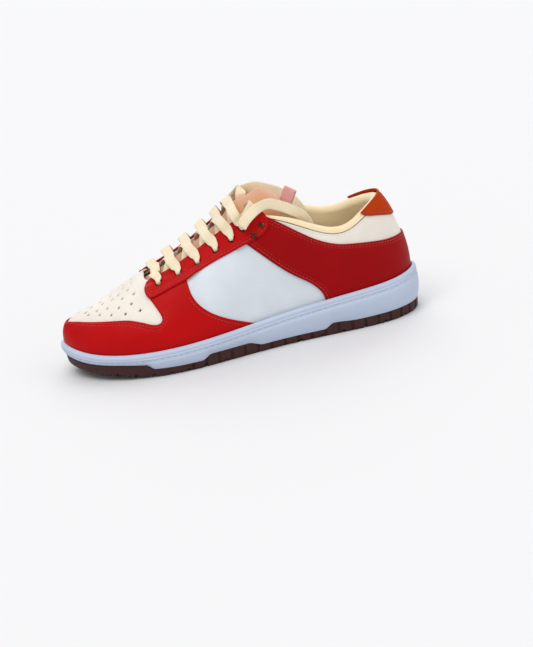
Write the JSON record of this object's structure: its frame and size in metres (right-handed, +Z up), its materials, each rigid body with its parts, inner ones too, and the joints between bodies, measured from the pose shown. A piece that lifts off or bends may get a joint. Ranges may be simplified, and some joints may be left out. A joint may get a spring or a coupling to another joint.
{
  "type": "lace-up cup-sole shoe",
  "caption": "Low-top leather lace-up shoe with padded collar and tongue, removable insole, white cup sole and ribbed rubber outsole.",
  "frame": {"origin": "centre of the footprint on the surface that the shoe stands on", "axes": "+X towards the heel, -X towards the toe, -Y the outer (lateral) side, +Z up"},
  "size_m": [0.3, 0.1076, 0.1242],
  "materials": {
    "outsole_rubber": "matt moulded dark brown rubber",
    "midsole_rubber": "satin white rubber with a stitched groove",
    "foam": "open-cell foam",
    "board": "stiff non-woven board",
    "lining_textile": "brushed cream knit",
    "white_leather": "smooth warm white leather",
    "pale_grey_leather": "smooth cool white leather",
    "red_leather": "smooth bright red leather",
    "dark_red_leather": "smooth deep red leather",
    "rust_leather": "smooth rust-orange leather",
    "tongue_textile": "cream textile over foam",
    "pink_webbing": "woven pink webbing",
    "lace_cotton": "flat woven cream cotton",
    "aglet_plastic": "clear crimped tip over the lace"
  },
  "bodies": {
    "root": {"outsole": "outsole_rubber", "cupsole": "midsole_rubber", "midsole_wedge": "foam", "insole_board": "board", "toe_box": "white_leather", "toe_overlay": "red_leather", "quarter_lateral": "pale_grey_leather", "quarter_medial": "pale_grey_leather", "eyestay_lateral": "red_leather", "eyestay_medial": "red_leather", "heel_band_lateral": "dark_red_leather", "heel_band_medial": "dark_red_leather", "collar_panel_lateral": "white_leather", "collar_panel_medial": "white_leather", "heel_tab": "rust_leather", "eyelet_tape_lateral": "board", "eyelet_tape_medial": "board", "collar_lining": "lining_textile", "collar_foam": "foam", "heel_counter": "board", "vamp_lining": "lining_textile", "toe_puff": "board", "lace": "lace_cotton", "aglet_lateral": "aglet_plastic", "aglet_medial": "aglet_plastic"},
    "tongue": {"tongue_shell": "tongue_textile", "tongue_foam": "foam", "tongue_lining": "lining_textile", "tongue_label": "pink_webbing"},
    "sockliner": {"sockliner": "lining_textile"}
  },
  "joints": [
    {"name": "tongue_tilt", "type": "hinge", "parent": "root", "child": "tongue", "pos_m": [-0.084, 0.004, 0.058], "axis": [0, 1, 0], "range_deg": [0, 9], "stiffness_Nm_per_rad": 0.3, "springref_deg": -6.88},
    {"name": "sockliner_lift", "type": "hinge", "parent": "root", "child": "sockliner", "pos_m": [-0.132, 0.008, 0.018], "axis": [0, -1, 0], "range_deg": [0, 6]}
  ]
}
